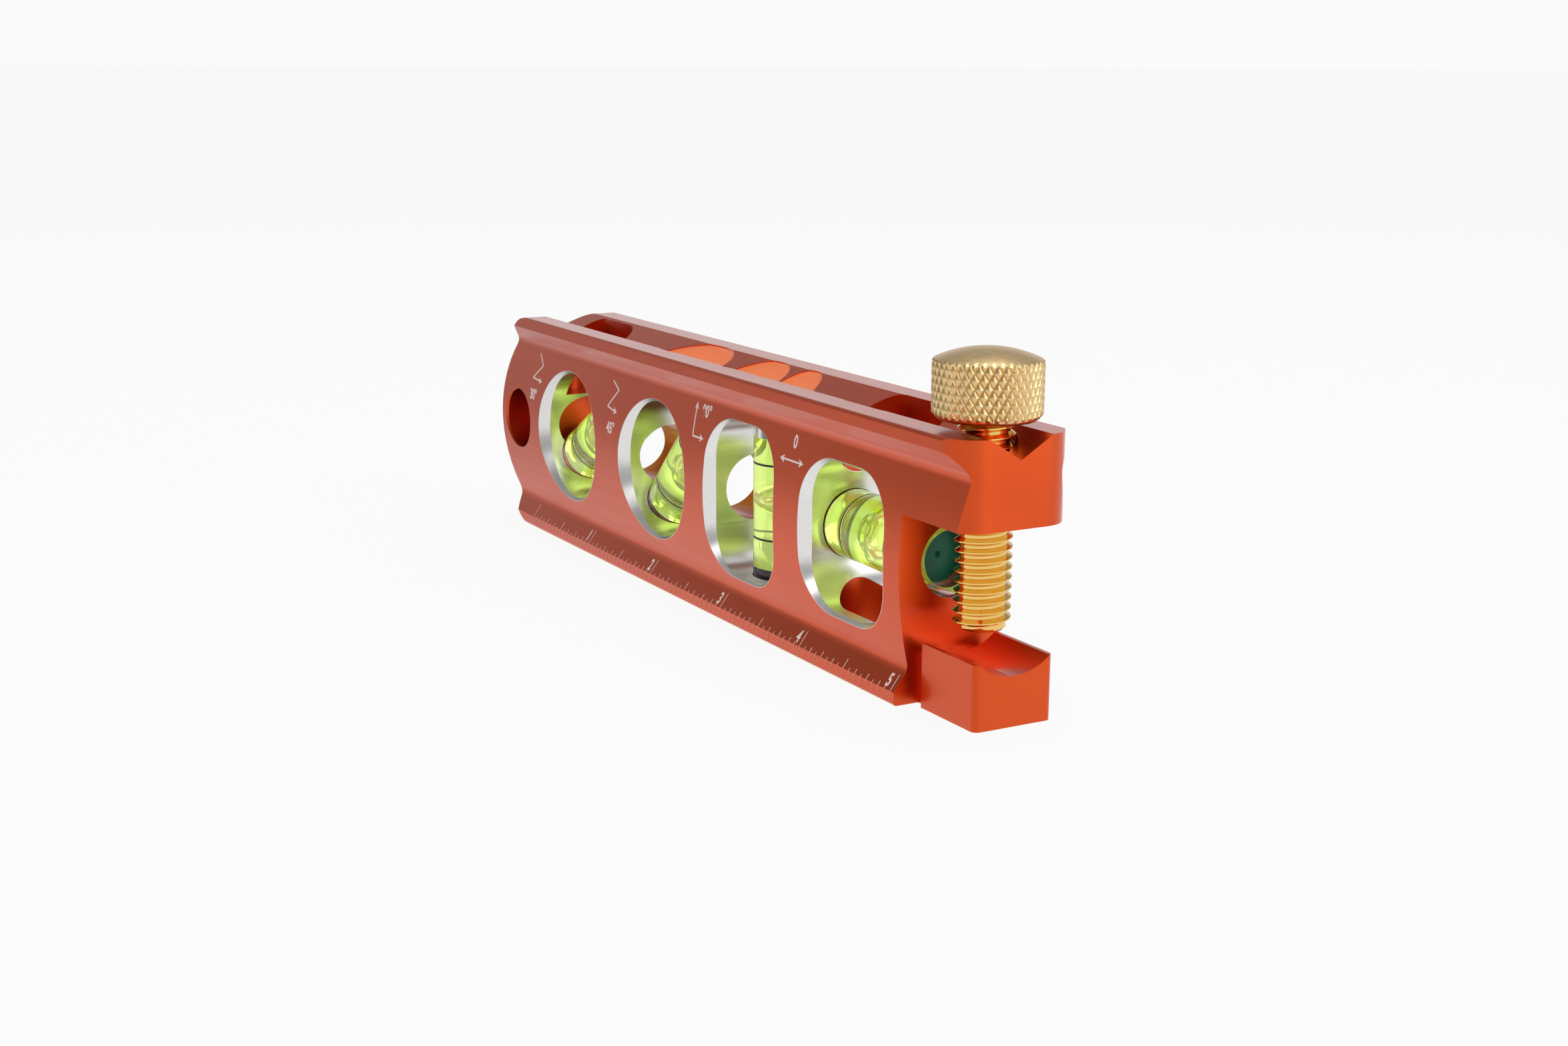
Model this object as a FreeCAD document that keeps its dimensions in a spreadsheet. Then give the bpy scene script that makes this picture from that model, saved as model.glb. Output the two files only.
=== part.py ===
import FreeCAD, Part
import math
import os

import Sketcher

# Magnetic pocket level: one machined aluminium body with four bubble vials and a clamp screw.
# Frame: X runs from the rounded tail to the nose, Y across the body, Z up, in millimetres.
# The origin is on the bottom face, half way between tail and nose.
SIZES = [
    # body billet
    ("level_length", 158.75),
    ("level_height", 39.8),
    ("rail_width", 19.05),
    ("web_width", 18.1),
    ("web_edge_width", 14.4),
    ("rail_strip", 2.0),
    ("rail_bevel", 3.1),
    ("edge_round", 0.5),
    ("groove_width", 10.2),
    ("groove_depth", 3.1),
    ("tail_radius", 24.0),
    ("tail_corner", 8.0),
    ("cove_radius", 2.1),
    # windows: the first is placed from the tail, the last from the nose, the others between them
    ("window_corner", 7.0),
    ("rim_depth", 1.8),
    ("rim_angle", 35.0),
    ("bend30_from_tail", 30.6),
    ("level_from_nose", 31.25),
    ("bend45_share", 0.3617),
    ("plumb_share", 0.6801),
    ("round_window", 23.0),
    ("plumb_window_width", 20.5),
    ("plumb_window_height", 24.8),
    ("level_window_width", 21.3),
    ("level_window_height", 22.4),
    # vials
    ("vial_diameter", 10.6),
    ("vial_length", 30.0),
    ("vial_fit", 0.1),
    ("cavity_diameter", 8.3),
    ("cavity_crown", 0.15),
    ("vial_end_wall", 4.0),
    ("plug_depth", 3.0),
    ("plug_length", 2.0),
    ("plug_dimple", 1.0),
    ("fluid_fit", 0.03),
    ("ring_spacing", 12.0),
    ("ring_width", 0.35),
    ("ring_depth", 0.2),
    ("bubble_length", 9.6),
    ("bubble_width", 5.4),
    ("bubble_height", 4.6),
    ("axial_bore_from_tail", 15.6),
    # slots and holes
    ("reading_slot_width", 10.6),
    ("reading_slot_length", 19.0),
    ("tail_slot_from_tail", 24.5),
    ("tail_slot_width", 9.2),
    ("tail_slot_length", 19.6),
    ("tail_slot_floor", 25.9),
    ("hang_hole_from_tail", 7.8),
    ("hang_hole_diameter", 11.2),
    ("hang_hole_rim", 0.4),
    # jaws
    ("jaw_depth", 15.2),
    ("notch_floor", 9.3),
    ("notch_roof", 27.3),
    ("lower_jaw_width", 12.8),
    ("trough_radius", 9.0),
    ("trough_depth", 2.1),
    ("nose_round", 5.0),
    ("lower_jaw_round", 1.0),
    ("jaw_gap", 2.2),
    ("jaw_neck_width", 10.8),
    # clamp screw and knob
    ("screw_from_nose", 8.15),
    ("thread_diameter", 8.0),
    ("thread_fit", 0.05),
    ("tip_height", 12.0),
    ("tip_chamfer", 0.8),
    ("knob_lift", 1.3),
    ("knob_diameter", 15.2),
    ("knob_height", 8.1),
    ("knob_dome", 1.6),
    ("knob_edge", 0.8),
    ("spigot_diameter", 6.0),
    ("spigot_length", 5.0),
    ("spigot_fit", 0.02),
    # magnets: the first is placed from the tail, the others half way between windows
    ("magnet_diameter", 9.5),
    ("magnet_thickness", 4.8),
    ("magnet_fit", 0.05),
    ("magnet_1_from_tail", 17.6),
]

MARGIN = "2"
TAIL = "(-Sizes.level_length / 2)"
NOSE = "(Sizes.level_length / 2)"
HEIGHT = "Sizes.level_height"
VIAL_LEVEL = "(Sizes.level_height / 2)"
RAIL = "(Sizes.rail_width / 2)"
WEB = "(Sizes.web_width / 2)"
FIRST_WINDOW = "(Sizes.bend30_from_tail - Sizes.level_length / 2)"
LAST_WINDOW = "(Sizes.level_length / 2 - Sizes.level_from_nose)"
JAW_BACK = "(Sizes.level_length / 2 - Sizes.jaw_depth)"
SCREW_X = "(Sizes.level_length / 2 - Sizes.screw_from_nose)"
BORE_RADIUS = "(Sizes.vial_diameter / 2 + Sizes.vial_fit)"
KNOB_BASE = "(Sizes.level_height + Sizes.knob_lift)"

doc = FreeCAD.newDocument("pocket_level")
sheet = doc.addObject("Spreadsheet::Sheet", "Sizes")
for row, (alias, size) in enumerate(SIZES, start=1):
    sheet.set(f"A{row}", alias)
    sheet.set(f"B{row}", str(size))
    sheet.setAlias(f"B{row}", alias)
doc.recompute()


def number(expression):
    """Value that an expression on the sheet has now."""
    return float(sheet.evalExpression(expression))


def from_tail(alias):
    return f"(Sizes.{alias} - Sizes.level_length / 2)"


def between_windows(share):
    """Place along X as a share of the way from the first window to the last."""
    return f"({FIRST_WINDOW} + ({LAST_WINDOW} - {FIRST_WINDOW}) * ({share}))"


def minus(expression):
    return f"(-({expression}))"


def new_body(label):
    body = doc.addObject("PartDesign::Body", label)
    body.Label = label
    return body


def new_sketch(body, role, name, offset=None, placement=None):
    """Sketch on one of the body's own origin planes, moved along its normal or placed whole."""
    sketch = body.newObject("Sketcher::SketchObject", name)
    plane = [item for item in body.Origin.OriginFeatures if item.Role == role][0]
    sketch.AttachmentSupport = [(plane, "")]
    sketch.MapMode = "FlatFace"
    if offset:
        sketch.setExpression("AttachmentOffset.Base.z", offset)
    if placement:
        sketch.setExpression("AttachmentOffset", placement)
    return sketch


def bind(sketch, kind, arguments, expression):
    """Add one dimension to a sketch and tie it to the sheet."""
    index = sketch.addConstraint(Sketcher.Constraint(kind, *arguments, number(expression)))
    name = f"size_{index}"
    sketch.renameConstraint(index, name)
    sketch.setExpression(f"Constraints.{name}", expression)


def place_point(sketch, geometry, position, point):
    bind(sketch, "DistanceX", (-1, 1, geometry, position), point[0])
    bind(sketch, "DistanceY", (-1, 1, geometry, position), point[1])


def arc_middle(start, end, radius, side):
    """Middle point of the short arc from start to end, on the left (1) or right (-1) of the chord."""
    chord = end - start
    half = chord.Length / 2
    rise = radius - math.sqrt(max(radius * radius - half * half, 0))
    normal = FreeCAD.Vector(-chord.y, chord.x, 0).normalize()
    return start + chord * 0.5 + normal * (side * rise)


def draw_outline(sketch, corners, arcs=None):
    """Closed outline through the corners. arcs gives (radius, side) for the stretch after a corner."""
    arcs = arcs or {}
    points = [FreeCAD.Vector(number(x), number(y), 0) for x, y in corners]
    stretches = []
    for index, start in enumerate(points):
        end = points[(index + 1) % len(points)]
        if index in arcs:
            radius, side = arcs[index]
            shape = Part.Arc(start, arc_middle(start, end, number(radius), side), end)
        else:
            shape = Part.LineSegment(start, end)
        geometry = sketch.addGeometry(shape)
        first = sketch.getPoint(geometry, 1)
        forward = first.distanceToPoint(start) < first.distanceToPoint(end)
        stretches.append((geometry, 1, 2) if forward else (geometry, 2, 1))
    for index, (geometry, start, end) in enumerate(stretches):
        following = stretches[(index + 1) % len(stretches)]
        sketch.addConstraint(Sketcher.Constraint("Coincident", geometry, end, following[0], following[1]))
        place_point(sketch, geometry, start, corners[index])
        if index in arcs:
            bind(sketch, "Radius", (geometry,), arcs[index][0])


def draw_circle(sketch, centre, radius):
    middle = FreeCAD.Vector(number(centre[0]), number(centre[1]), 0)
    geometry = sketch.addGeometry(Part.Circle(middle, FreeCAD.Vector(0, 0, 1), number(radius)))
    place_point(sketch, geometry, 3, centre)
    bind(sketch, "Radius", (geometry,), radius)


def draw_rounded_box(sketch, centre, width, height, radius):
    """Rectangle with four equal round corners."""
    left = f"({centre[0]} - ({width}) / 2)"
    right = f"({centre[0]} + ({width}) / 2)"
    low = f"({centre[1]} - ({height}) / 2)"
    high = f"({centre[1]} + ({height}) / 2)"
    corners = [
        (f"{left} + {radius}", low), (f"{right} - {radius}", low),
        (right, f"{low} + {radius}"), (right, f"{high} - {radius}"),
        (f"{right} - {radius}", high), (f"{left} + {radius}", high),
        (left, f"{high} - {radius}"), (left, f"{low} + {radius}"),
    ]
    draw_outline(sketch, corners, {index: (radius, -1) for index in (1, 3, 5, 7)})


def draw_slot(sketch, centre, length, width):
    """Slot along X with round ends."""
    half = f"({width} / 2)"
    left = f"({centre[0]} - ({length} - {width}) / 2)"
    right = f"({centre[0]} + ({length} - {width}) / 2)"
    low = f"({centre[1]} - {half})"
    high = f"({centre[1]} + {half})"
    corners = [(left, low), (right, low), (right, high), (left, high)]
    points = [FreeCAD.Vector(number(x), number(y), 0) for x, y in corners]
    bulge = FreeCAD.Vector(number(half), 0, 0)
    bottom = sketch.addGeometry(Part.LineSegment(points[0], points[1]))
    nose = sketch.addGeometry(Part.Arc(points[1], (points[1] + points[2]) * 0.5 + bulge, points[2]))
    top = sketch.addGeometry(Part.LineSegment(points[2], points[3]))
    tail = sketch.addGeometry(Part.Arc(points[3], (points[3] + points[0]) * 0.5 - bulge, points[0]))
    for first, second in ((bottom, nose), (nose, top), (top, tail), (tail, bottom)):
        sketch.addConstraint(Sketcher.Constraint("Coincident", first, 2, second, 1))
    for line, start in ((bottom, corners[0]), (top, corners[2])):
        place_point(sketch, line, 1, start)
    place_point(sketch, bottom, 2, corners[1])
    place_point(sketch, top, 2, corners[3])
    bind(sketch, "DistanceX", (-1, 1, nose, 3), right)
    bind(sketch, "DistanceX", (-1, 1, tail, 3), left)


def pad(body, sketch, length):
    feature = body.newObject("PartDesign::Pad", f"{sketch.Name}_pad")
    feature.Profile = sketch
    feature.SideType = "Symmetric"
    feature.setExpression("Length", length)
    return feature


def pocket(body, sketch, depth=None, both=False, forward=False, taper=None):
    """Cut a sketch into the body: right through, or to a depth, along or against its normal."""
    feature = body.newObject("PartDesign::Pocket", f"{sketch.Name}_cut")
    feature.Profile = sketch
    feature.Reversed = forward
    if both:
        feature.SideType = "Symmetric"
    if depth:
        feature.setExpression("Length", depth)
    else:
        feature.Type = "ThroughAll"
    if taper:
        feature.setExpression("TaperAngle", taper)
    return feature


def revolve(body, sketch, axis):
    feature = body.newObject("PartDesign::Revolution", f"{sketch.Name}_turned")
    feature.Profile = sketch
    feature.ReferenceAxis = (sketch, [axis])
    feature.Angle = 360
    return feature


def billet_section(body):
    """Cross-section: two bevelled rails each side of a bulged web, with a V along the top."""
    sketch = new_sketch(body, "YZ_Plane", "section")
    edge = "(Sizes.web_edge_width / 2)"
    shoulder = "(Sizes.rail_strip + Sizes.rail_bevel)"
    rounding = "Sizes.edge_round"
    groove = "(Sizes.groove_width / 2)"
    sag = f"(({WEB} - {edge}))"
    half_web = f"({HEIGHT} / 2 - {shoulder})"
    bulge = f"(({half_web} * {half_web} + {sag} * {sag}) / (2 * {sag}))"
    side = [
        (f"{RAIL} - {rounding}", "0"), (RAIL, rounding), (RAIL, "Sizes.rail_strip"),
        (edge, shoulder), (edge, f"{HEIGHT} - {shoulder}"),
        (RAIL, f"{HEIGHT} - Sizes.rail_strip"), (RAIL, f"{HEIGHT} - {rounding}"),
        (f"{RAIL} - {rounding}", HEIGHT), (groove, HEIGHT),
    ]
    bottom_of_groove = [("0", f"{HEIGHT} - Sizes.groove_depth")]
    mirrored = [(minus(x), z) for x, z in reversed(side)]
    arcs = {0: (rounding, -1), 3: (bulge, -1), 6: (rounding, -1)}
    other_side = len(side) + len(bottom_of_groove)
    for index, arc in list(arcs.items()):
        arcs[other_side + len(side) - 2 - index] = arc
    draw_outline(sketch, side + bottom_of_groove + mirrored, arcs)
    billet = pad(body, sketch, "Sizes.level_length")
    doc.recompute()
    round_coves(body, billet)


def round_coves(body, billet):
    """Round the four inner corners where the rails' bevels meet the web."""
    corner = number("Sizes.web_edge_width / 2")
    coves = []
    for index, edge in enumerate(billet.Shape.Edges, start=1):
        ends = [vertex.Point for vertex in edge.Vertexes]
        along = len(ends) == 2 and abs(ends[0].x - ends[1].x) > 1
        if along and abs(abs(ends[0].y) - corner) < 1e-4:
            coves.append(f"Edge{index}")
    fillet = body.newObject("PartDesign::Fillet", "coves")
    fillet.Base = (billet, coves)
    fillet.setExpression("Radius", "Sizes.cove_radius")


def round_the_tail(body):
    """The tail is one large arc, with a smaller one at the corner of each rail."""
    sketch = new_sketch(body, "XZ_Plane", "tail_shape")
    big = "Sizes.tail_radius"
    small = "Sizes.tail_corner"
    rise = f"({VIAL_LEVEL} - {small})"
    run = f"sqrt(({big} - {small}) ^ 2 - {rise} ^ 2)"
    centre = f"({TAIL} + {big})"
    corner_x = f"({centre} - {run})"
    share = f"({big} / ({big} - {small}))"
    meet_x = f"({centre} - {run} * {share})"
    meet_z = f"({rise} * {share})"
    outside = f"({TAIL} - {MARGIN})"
    corners = [
        (outside, f"-{MARGIN}"), (corner_x, f"-{MARGIN}"), (corner_x, "0"),
        (meet_x, f"{VIAL_LEVEL} - {meet_z}"), (meet_x, f"{VIAL_LEVEL} + {meet_z}"),
        (corner_x, HEIGHT), (corner_x, f"{HEIGHT} + {MARGIN}"), (outside, f"{HEIGHT} + {MARGIN}"),
    ]
    draw_outline(sketch, corners, {2: (small, 1), 3: (big, 1), 4: (small, 1)})
    pocket(body, sketch, both=True)


def draw_window(sketch, name, grow):
    """One window's outline, grown by some amount all round."""
    centre = (WINDOWS[name], VIAL_LEVEL)
    if name in ("bend30", "bend45"):
        draw_circle(sketch, centre, f"(Sizes.round_window / 2 + {grow})")
        return
    width = f"(Sizes.{name}_window_width + 2 * {grow})"
    height = f"(Sizes.{name}_window_height + 2 * {grow})"
    draw_rounded_box(sketch, centre, width, height, f"(Sizes.window_corner + {grow})")


def cut_windows(body):
    for name in WINDOWS:
        sketch = new_sketch(body, "XZ_Plane", f"{name}_window")
        draw_window(sketch, name, "0")
        pocket(body, sketch, both=True)


def cut_rims(body):
    """Bevelled rims, cut from the widest part of the web, so they fade where the web curves away."""
    hang_centre = (from_tail("hang_hole_from_tail"), VIAL_LEVEL)
    for name, side, forward in (("near", WEB, False), ("far", minus(WEB), True)):
        for window in WINDOWS:
            sketch = new_sketch(body, "XZ_Plane", f"{name}_{window}_rim", side)
            draw_window(sketch, window, "(Sizes.rim_depth * tan(Sizes.rim_angle))")
            pocket(body, sketch, "Sizes.rim_depth", forward=forward, taper="-Sizes.rim_angle")
        hole = new_sketch(body, "XZ_Plane", f"{name}_hang_rim", side)
        draw_circle(hole, hang_centre, "(Sizes.hang_hole_diameter / 2 + Sizes.hang_hole_rim)")
        pocket(body, hole, "Sizes.hang_hole_rim", forward=forward, taper="-45")


def drill_along(body):
    """The bore of the level vial, drilled from the notch through every web between the windows."""
    sketch = new_sketch(body, "YZ_Plane", "axial_bore", from_tail("axial_bore_from_tail"))
    draw_circle(sketch, ("0", VIAL_LEVEL), BORE_RADIUS)
    pocket(body, sketch, forward=True)


def drill_from_top(body, name, centre, angle):
    """A vial bore that starts half a vial below its window's centre and leaves through the top."""
    reach = "(Sizes.vial_length / 2)"
    foot_x = f"{centre} - {reach} * cos({angle})"
    foot_z = f"{VIAL_LEVEL} - {reach} * sin({angle})"
    turn = f"rotation(vector(0; 1; 0); 90 - {angle})"
    sketch = new_sketch(
        body, "XY_Plane", f"{name}_bore", placement=f"placement(vector({foot_x}; 0; {foot_z}); {turn})")
    draw_circle(sketch, ("0", "0"), BORE_RADIUS)
    pocket(body, sketch, forward=True)


def cut_notch(body):
    """The throat between the jaws, deeper in a narrow gap behind the lower jaw."""
    sketch = new_sketch(body, "XZ_Plane", "notch")
    front = f"({NOSE} + {MARGIN})"
    gap_front = f"({JAW_BACK} + Sizes.jaw_gap)"
    gap_floor = "(Sizes.notch_floor - Sizes.trough_depth)"
    draw_outline(sketch, [
        (JAW_BACK, gap_floor), (gap_front, gap_floor), (gap_front, "Sizes.notch_floor"),
        (front, "Sizes.notch_floor"), (front, "Sizes.notch_roof"), (JAW_BACK, "Sizes.notch_roof"),
    ])
    pocket(body, sketch, both=True)


def narrow_lower_jaw(body):
    """The lower jaw is narrower than the rails, and narrower still at its neck in the gap."""
    sketch = new_sketch(body, "XY_Plane", "lower_jaw_sides")
    half = "(Sizes.lower_jaw_width / 2)"
    neck = "(Sizes.jaw_neck_width / 2)"
    corner = "Sizes.lower_jaw_round"
    front = f"({NOSE} + {MARGIN})"
    gap_front = f"({JAW_BACK} + Sizes.jaw_gap)"
    outside = f"({RAIL} + {MARGIN})"
    corners = [
        (JAW_BACK, neck), (gap_front, neck), (gap_front, half), (f"{NOSE} - {corner}", half),
        (NOSE, f"{half} - {corner}"), (front, f"{half} - {corner}"), (front, outside), (JAW_BACK, outside),
    ]
    draw_outline(sketch, corners, {3: (corner, 1)})
    draw_outline(sketch, [(x, minus(y)) for x, y in corners], {3: (corner, -1)})
    pocket(body, sketch, "Sizes.notch_roof", forward=True)


def cut_trough(body):
    """The hollow in the lower jaw that a tube lies in."""
    sketch = new_sketch(body, "YZ_Plane", "trough", JAW_BACK)
    lift = "(Sizes.notch_floor - Sizes.trough_depth + Sizes.trough_radius)"
    draw_circle(sketch, ("0", lift), "Sizes.trough_radius")
    pocket(body, sketch, forward=True)


def round_upper_jaw(body):
    sketch = new_sketch(body, "XY_Plane", "upper_jaw_corners", "Sizes.notch_roof")
    corner = "Sizes.nose_round"
    front = f"({NOSE} + {MARGIN})"
    outside = f"({RAIL} + {MARGIN})"
    corners = [
        (NOSE, f"{RAIL} - {corner}"), (front, f"{RAIL} - {corner}"), (front, outside),
        (f"{NOSE} - {corner}", outside), (f"{NOSE} - {corner}", RAIL),
    ]
    draw_outline(sketch, corners, {4: (corner, 1)})
    draw_outline(sketch, [(x, minus(y)) for x, y in corners], {4: (corner, -1)})
    pocket(body, sketch, forward=True)


def drill_holes(body):
    screw = new_sketch(body, "XY_Plane", "screw_hole", "Sizes.notch_roof")
    draw_circle(screw, (SCREW_X, "0"), "(Sizes.thread_diameter / 2 + Sizes.thread_fit)")
    pocket(body, screw, forward=True)
    hang = new_sketch(body, "XZ_Plane", "hang_hole")
    draw_circle(hang, (from_tail("hang_hole_from_tail"), VIAL_LEVEL), "(Sizes.hang_hole_diameter / 2)")
    pocket(body, hang, both=True)
    magnets = new_sketch(body, "XY_Plane", "magnet_seats")
    for place in MAGNETS.values():
        draw_circle(magnets, (place, "0"), "(Sizes.magnet_diameter / 2 + Sizes.magnet_fit)")
    pocket(body, magnets, "(Sizes.magnet_thickness + Sizes.magnet_fit)", forward=True)


def cut_slots(body):
    """A slot right through above and below the level vial, and a blind one above the tail window."""
    reading = new_sketch(body, "XY_Plane", "reading_slot")
    draw_slot(reading, (LAST_WINDOW, "0"), "Sizes.reading_slot_length", "Sizes.reading_slot_width")
    pocket(body, reading, both=True)
    tail = new_sketch(body, "XY_Plane", "tail_slot", "Sizes.tail_slot_floor")
    centre = (from_tail("tail_slot_from_tail"), "0")
    draw_slot(tail, centre, "Sizes.tail_slot_length", "Sizes.tail_slot_width")
    pocket(body, tail, forward=True)


def make_level_body():
    body = new_body("level_body")
    billet_section(body)
    round_the_tail(body)
    cut_notch(body)
    narrow_lower_jaw(body)
    cut_trough(body)
    round_upper_jaw(body)
    cut_windows(body)
    cut_rims(body)
    drill_along(body)
    for name, angle in VIAL_ANGLES.items():
        if angle != "0":
            drill_from_top(body, name, WINDOWS[name], angle)
    cut_slots(body)
    drill_holes(body)
    return body


def place_on_vial(body, name):
    """Turn a piece made along X, centred on the origin, to the vial's place in the body."""
    turn = f"rotation(vector(0; 1; 0); -{VIAL_ANGLES[name]})"
    body.setExpression("Placement", f"placement(vector({WINDOWS[name]}; 0; {VIAL_LEVEL}); {turn})")


def make_barrel(name):
    """Clear barrel: one bore from its mouth to its closed end, crowned where the bubble runs."""
    body = new_body(f"{name}_vial_barrel")
    sketch = new_sketch(body, "XZ_Plane", f"{name}_barrel_half")
    outer = "(Sizes.vial_diameter / 2)"
    corners = [
        (minus(VIAL_END), "0"), (CLOSED_END, "0"), (CLOSED_END, CAVITY), (PLUG_FOOT, CAVITY),
        (VIAL_END, CAVITY), (VIAL_END, outer),
    ]
    for middle in RING_PLACES:
        corners += [
            (f"{middle} + Sizes.ring_width / 2", outer),
            (f"{middle} + Sizes.ring_width / 2", f"{outer} - Sizes.ring_depth"),
            (f"{middle} - Sizes.ring_width / 2", f"{outer} - Sizes.ring_depth"),
            (f"{middle} - Sizes.ring_width / 2", outer),
        ]
    corners.append((minus(VIAL_END), outer))
    draw_outline(sketch, corners, {2: (crown_radius("0"), 1)})
    revolve(body, sketch, "H_Axis")
    return body


def crown_radius(clearance):
    """Radius of the barrel's crown, from the length and rise of the arc."""
    half = f"(({PLUG_FOOT} - {CLOSED_END}) / 2 - {clearance})"
    return f"(({half} ^ 2 + Sizes.cavity_crown ^ 2) / (2 * Sizes.cavity_crown))"


def make_fluid(name):
    """The fluid fills the bore up to the plug, apart from the bubble at its highest place."""
    body = new_body(f"{name}_vial_fluid")
    sketch = new_sketch(body, "XZ_Plane", f"{name}_fluid_half")
    gap = "Sizes.fluid_fit"
    left = f"({CLOSED_END} + {gap})"
    right = f"({PLUG_FOOT} - {gap})"
    radius = f"({CAVITY} - {gap})"
    draw_outline(sketch, [(left, "0"), (right, "0"), (right, radius), (left, radius)],
                 {2: (crown_radius(gap), -1)})
    revolve(body, sketch, "H_Axis")
    doc.recompute()
    void = body.newObject("PartDesign::SubtractiveEllipsoid", f"{name}_bubble")
    along, up, length, width, height = BUBBLES[name]
    void.setExpression("Radius1", f"{height} / 2")
    void.setExpression("Radius2", f"{length} / 2")
    void.setExpression("Radius3", f"{width} / 2")
    void.setExpression("AttachmentOffset.Base.x", along)
    void.setExpression("AttachmentOffset.Base.z", up)
    return body


def make_plug(name):
    """Disc that seals the bore some way inside the mouth, with a small dimple in its face."""
    body = new_body(f"{name}_vial_plug")
    sketch = new_sketch(body, "XZ_Plane", f"{name}_plug_half")
    face = f"({PLUG_FOOT} + Sizes.plug_length)"
    radius = f"({CAVITY} - Sizes.fluid_fit)"
    dimple = "(Sizes.plug_dimple / 2)"
    draw_outline(sketch, [
        (PLUG_FOOT, "0"), (f"{face} - {dimple}", "0"), (face, dimple), (face, radius), (PLUG_FOOT, radius)])
    revolve(body, sketch, "H_Axis")
    return body


def make_rings(name):
    """The two black lines that the bubble is read against, let into the barrel."""
    body = new_body(f"{name}_vial_rings")
    outer = "(Sizes.vial_diameter / 2)"
    inner = f"({outer} - Sizes.ring_depth + 0.01)"
    half = "(Sizes.ring_width / 2 - 0.01)"
    sketch = new_sketch(body, "XZ_Plane", f"{name}_ring_half")
    for middle in RING_PLACES:
        draw_outline(sketch, [
            (f"{middle} - {half}", inner), (f"{middle} + {half}", inner),
            (f"{middle} + {half}", outer), (f"{middle} - {half}", outer),
        ])
    body.AllowCompound = True
    revolve(body, sketch, "H_Axis")
    return body


def make_magnet(name, place):
    body = new_body(name)
    sketch = new_sketch(body, "XY_Plane", f"{name}_disc", "Sizes.magnet_thickness / 2 + Sizes.magnet_fit")
    draw_circle(sketch, (place, "0"), "Sizes.magnet_diameter / 2")
    pad(body, sketch, "Sizes.magnet_thickness")
    return body


def make_clamp_screw():
    """Stud at its thread's outer size, with a chamfered tip and a spigot for the knob."""
    body = new_body("clamp_screw")
    sketch = new_sketch(body, "XZ_Plane", "stud_half")
    radius = "(Sizes.thread_diameter / 2)"
    tip = "Sizes.tip_height"
    chamfer = "Sizes.tip_chamfer"
    spigot = "(Sizes.spigot_diameter / 2)"
    top = f"({KNOB_BASE} + Sizes.spigot_length)"
    draw_outline(sketch, [
        ("0", tip), (f"{radius} - {chamfer}", tip), (radius, f"{tip} + {chamfer}"),
        (radius, KNOB_BASE), (spigot, KNOB_BASE), (spigot, top), ("0", top),
    ])
    revolve(body, sketch, "V_Axis")
    body.setExpression("Placement.Base.x", SCREW_X)
    return body


def make_knob():
    """Turned knob with a low dome, rounded at the foot and bored for the screw's spigot."""
    body = new_body("knob")
    sketch = new_sketch(body, "XZ_Plane", "knob_half")
    radius = "(Sizes.knob_diameter / 2)"
    edge = "Sizes.knob_edge"
    rim = f"({KNOB_BASE} + Sizes.knob_height)"
    bore = "(Sizes.spigot_diameter / 2 + Sizes.spigot_fit)"
    roof = f"({KNOB_BASE} + Sizes.spigot_length + Sizes.spigot_fit)"
    dome = f"(({radius} ^ 2 + Sizes.knob_dome ^ 2) / (2 * Sizes.knob_dome))"
    corners = [
        (bore, KNOB_BASE), (f"{radius} - {edge}", KNOB_BASE), (radius, f"{KNOB_BASE} + {edge}"),
        (radius, rim), ("0", f"{rim} + Sizes.knob_dome"), ("0", roof), (bore, roof),
    ]
    draw_outline(sketch, corners, {1: (edge, -1), 3: (dome, -1)})
    revolve(body, sketch, "V_Axis")
    body.setExpression("Placement.Base.x", SCREW_X)
    return body


WINDOWS = {
    "bend30": FIRST_WINDOW,
    "bend45": between_windows("Sizes.bend45_share"),
    "plumb": between_windows("Sizes.plumb_share"),
    "level": LAST_WINDOW,
}
VIAL_ANGLES = {"bend30": "30", "bend45": "45", "plumb": "90", "level": "0"}
MAGNETS = {
    "magnet_1": from_tail("magnet_1_from_tail"),
    "magnet_2": f"(({WINDOWS['bend30']} + {WINDOWS['bend45']}) / 2)",
    "magnet_3": f"(({WINDOWS['bend45']} + {WINDOWS['plumb']}) / 2)",
    "magnet_4": f"(({WINDOWS['plumb']} + {WINDOWS['level']}) / 2)",
}
VIAL_END = "(Sizes.vial_length / 2)"
CLOSED_END = "(Sizes.vial_end_wall - Sizes.vial_length / 2)"
PLUG_FOOT = "(Sizes.vial_length / 2 - Sizes.plug_depth - Sizes.plug_length)"
CAVITY = "(Sizes.cavity_diameter / 2)"
RING_PLACES = ("(Sizes.ring_spacing / 2)", "(-Sizes.ring_spacing / 2)")
BUBBLE_RISE = f"{CAVITY} - Sizes.bubble_height * 0.45"
RESTING_BUBBLE = ("0", BUBBLE_RISE, "Sizes.bubble_length", "Sizes.bubble_width", "Sizes.bubble_height")
LEANING_BUBBLE = (f"{PLUG_FOOT} - Sizes.bubble_length * 0.4",) + RESTING_BUBBLE[1:]
UPRIGHT_BUBBLE = (
    PLUG_FOOT, "0", "Sizes.bubble_width * 0.9", "Sizes.cavity_diameter * 0.94", "Sizes.cavity_diameter * 0.94")
BUBBLES = {
    "level": RESTING_BUBBLE,
    "plumb": UPRIGHT_BUBBLE,
    "bend45": LEANING_BUBBLE,
    "bend30": LEANING_BUBBLE,
}

pieces = [make_level_body()]
for vial in VIAL_ANGLES:
    parts = [make_barrel(vial), make_fluid(vial), make_plug(vial), make_rings(vial)]
    for piece in parts:
        place_on_vial(piece, vial)
    pieces += parts
for name, place in MAGNETS.items():
    pieces.append(make_magnet(name, place))
pieces += [make_clamp_screw(), make_knob()]
doc.recompute()

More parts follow.
